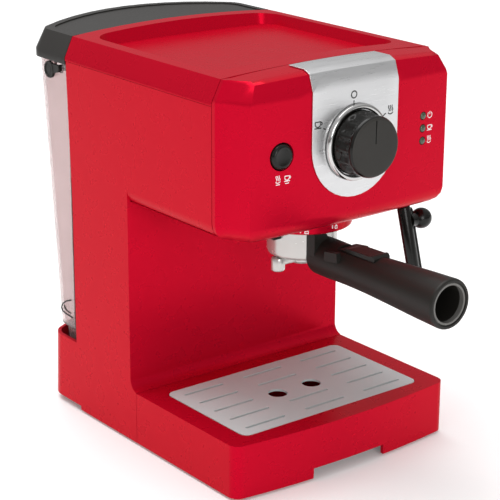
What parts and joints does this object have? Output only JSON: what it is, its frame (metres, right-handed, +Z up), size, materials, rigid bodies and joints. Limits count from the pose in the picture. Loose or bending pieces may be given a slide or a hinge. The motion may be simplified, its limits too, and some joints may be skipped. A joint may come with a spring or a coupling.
{
  "type": "espresso machine",
  "caption": "Pump espresso machine with a red housing, selector knob, portafilter in its brew group, steam wand, pull-out drip tray and a removable rear water tank.",
  "frame": {"origin": "middle of the footprint box, on the plane of the feet", "axes": "+Z up, +Y from the front panel to the water tank, +X to the right seen from the front"},
  "size_m": [0.2, 0.385, 0.2994],
  "materials": {
    "red_gloss": "gloss moulded",
    "brushed_stainless": "brushed",
    "chrome": "polished",
    "satin_steel": "satin",
    "black_plastic": "satin moulded",
    "grey_plastic": "satin moulded",
    "smoke_tank": "clear smoked",
    "rubber": "matte",
    "aluminium": "cast",
    "brass": "satin",
    "hose": "translucent",
    "switch_plastic": "matte",
    "board": "matte",
    "lamp_lens": "clear tinted"
  },
  "bodies": {
    "housing": {"main_housing": "red_gloss", "top_cover": "red_gloss", "front_mask": "red_gloss", "trim_plate": "brushed_stainless", "knob_bezel": "chrome", "brew_collar": "red_gloss", "rear_panel": "grey_plastic", "base_plate": "black_plastic", "foot_front_left": "rubber", "foot_front_right": "rubber", "foot_rear_left": "rubber", "foot_rear_right": "rubber", "cord_gland": "rubber", "bayonet_ring": "aluminium", "group_gasket": "rubber", "shower_screen": "satin_steel", "shower_screw": "satin_steel", "boiler_base": "aluminium", "boiler_cap": "aluminium", "heater_ring": "satin_steel", "coffee_thermostat": "aluminium", "steam_thermostat": "aluminium", "pump": "switch_plastic", "pump_mount_lower": "rubber", "pump_mount_upper": "rubber", "suction_hose": "hose", "pressure_pipe": "hose", "steam_pipe": "aluminium", "selector_switch": "switch_plastic", "steam_valve": "brass", "push_switch": "black_plastic", "lamp_power": "lamp_lens", "lamp_cup": "lamp_lens", "lamp_steam": "lamp_lens", "lamp_board": "board", "tank_seal": "rubber", "wand_seat": "brass"},
    "selector": {"knob": "black_plastic", "valve_spindle": "satin_steel"},
    "button": {"push_button": "black_plastic"},
    "tray": {"tray_frame": "red_gloss", "drip_basin": "red_gloss"},
    "grid": {"drip_grid": "brushed_stainless"},
    "tank": {"water_tank": "smoke_tank", "tank_valve": "black_plastic"},
    "lid": {"tank_lid": "grey_plastic"},
    "bail": {"tank_handle": "black_plastic"},
    "portafilter": {"portafilter_bowl": "chrome", "filter_basket": "satin_steel", "lug_left": "black_plastic", "lug_right": "black_plastic", "spout": "chrome", "portafilter_handle": "black_plastic"},
    "clip": {"basket_clip": "black_plastic"},
    "wand_swivel": {"wand_ball": "black_plastic"},
    "steam_wand": {"wand_tube": "satin_steel", "froth_sleeve": "black_plastic", "wand_lever": "black_plastic"}
  },
  "joints": [
    {"name": "knob_turn", "type": "hinge", "parent": "housing", "child": "selector", "pos_m": [0, -0.1065, 0.245], "axis": [0, 1, 0], "range_deg": [-65, 60]},
    {"name": "button_press", "type": "slide", "parent": "housing", "child": "button", "axis": [0, 1, 0], "range_m": [0, 0.003], "stiffness_N_per_m": 400, "springref_m": -0.002},
    {"name": "tray_slide", "type": "slide", "parent": "housing", "child": "tray", "axis": [0, -1, 0], "range_m": [0, 0.13]},
    {"name": "grid_lift", "type": "slide", "parent": "tray", "child": "grid", "axis": [0, 0, 1], "range_m": [0, 0.03]},
    {"name": "tank_lift", "type": "slide", "parent": "housing", "child": "tank", "axis": [0, 0, 1], "range_m": [0, 0.06]},
    {"name": "lid_hinge", "type": "hinge", "parent": "tank", "child": "lid", "pos_m": [0, 0.191, 0.277], "axis": [-1, 0, 0], "range_deg": [0, 95]},
    {"name": "bail_hinge", "type": "hinge", "parent": "tank", "child": "bail", "pos_m": [0, 0.1395, 0.2675], "axis": [-1, 0, 0], "range_deg": [0, 95]},
    {"name": "bayonet_turn", "type": "hinge", "parent": "housing", "child": "portafilter", "pos_m": [0, -0.0395, 0.167], "axis": [0, 0, 1], "range_deg": [-45, 0]},
    {"name": "clip_hinge", "type": "hinge", "parent": "portafilter", "child": "clip", "pos_m": [0, -0.0905, 0.1712], "axis": [-1, 0, 0], "range_deg": [0, 65]},
    {"name": "wand_turn", "type": "hinge", "parent": "housing", "child": "wand_swivel", "pos_m": [0.075, -0.0615, 0.191], "axis": [0, 0, 1], "range_deg": [-60, 60]},
    {"name": "wand_tilt", "type": "hinge", "parent": "wand_swivel", "child": "steam_wand", "pos_m": [0.075, -0.0615, 0.191], "axis": [1, 0, 0], "range_deg": [-16, 26]}
  ],
  "couplings": [
    {"joint": "bail_hinge", "follows": "lid_hinge", "ratio": 1}
  ]
}
